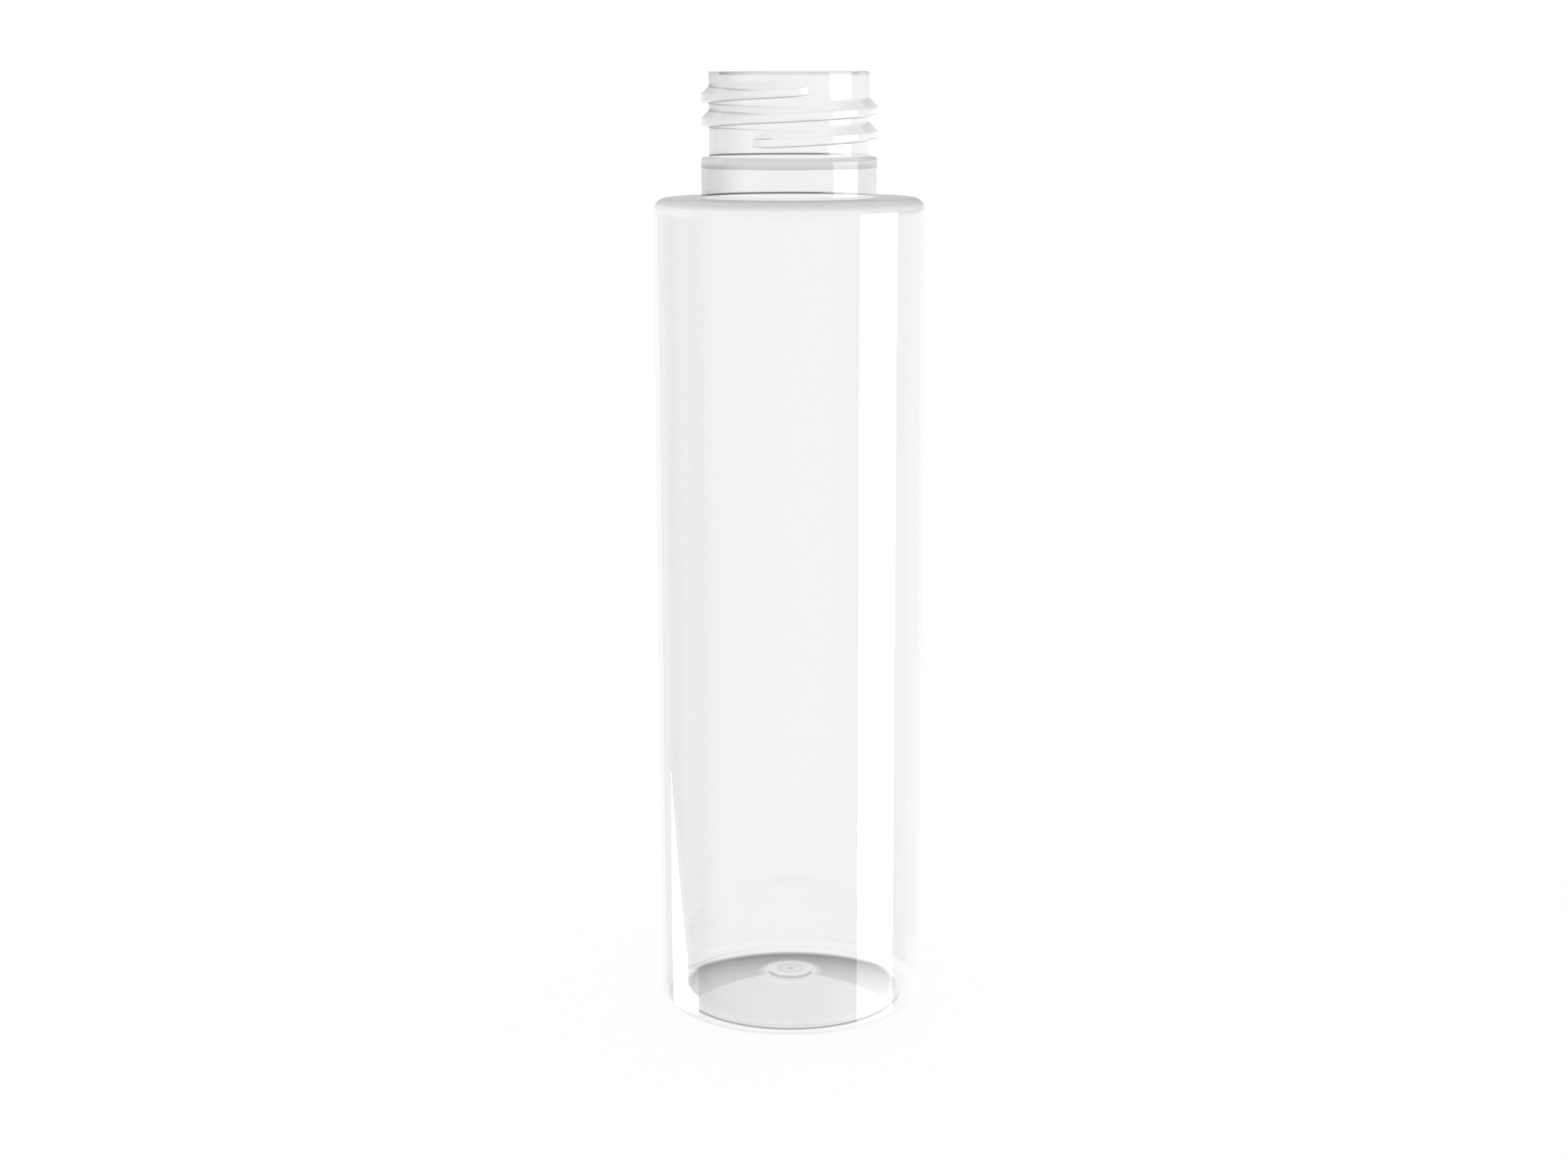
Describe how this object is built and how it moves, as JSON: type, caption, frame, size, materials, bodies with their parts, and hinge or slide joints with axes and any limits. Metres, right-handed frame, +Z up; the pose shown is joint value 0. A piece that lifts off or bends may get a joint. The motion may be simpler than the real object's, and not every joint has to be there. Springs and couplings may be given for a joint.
{
  "type": "pet bottle",
  "caption": "Slim clear cylindrical bottle with a small-radius shoulder, a collar, a helical screw thread on a short neck and a shallow pushed-up base.",
  "frame": {"origin": "middle of the standing plane, on the bottle's axis", "axes": "+Z up the bottle's axis and out of the mouth, -Y towards the front, +X to the viewer's right"},
  "size_m": [0.0368, 0.0368, 0.1293],
  "materials": {
    "clear_pet": "clear colourless PET, glossy inside and out"
  },
  "bodies": {
    "root": {"bottle": "clear_pet"}
  },
  "joints": []
}
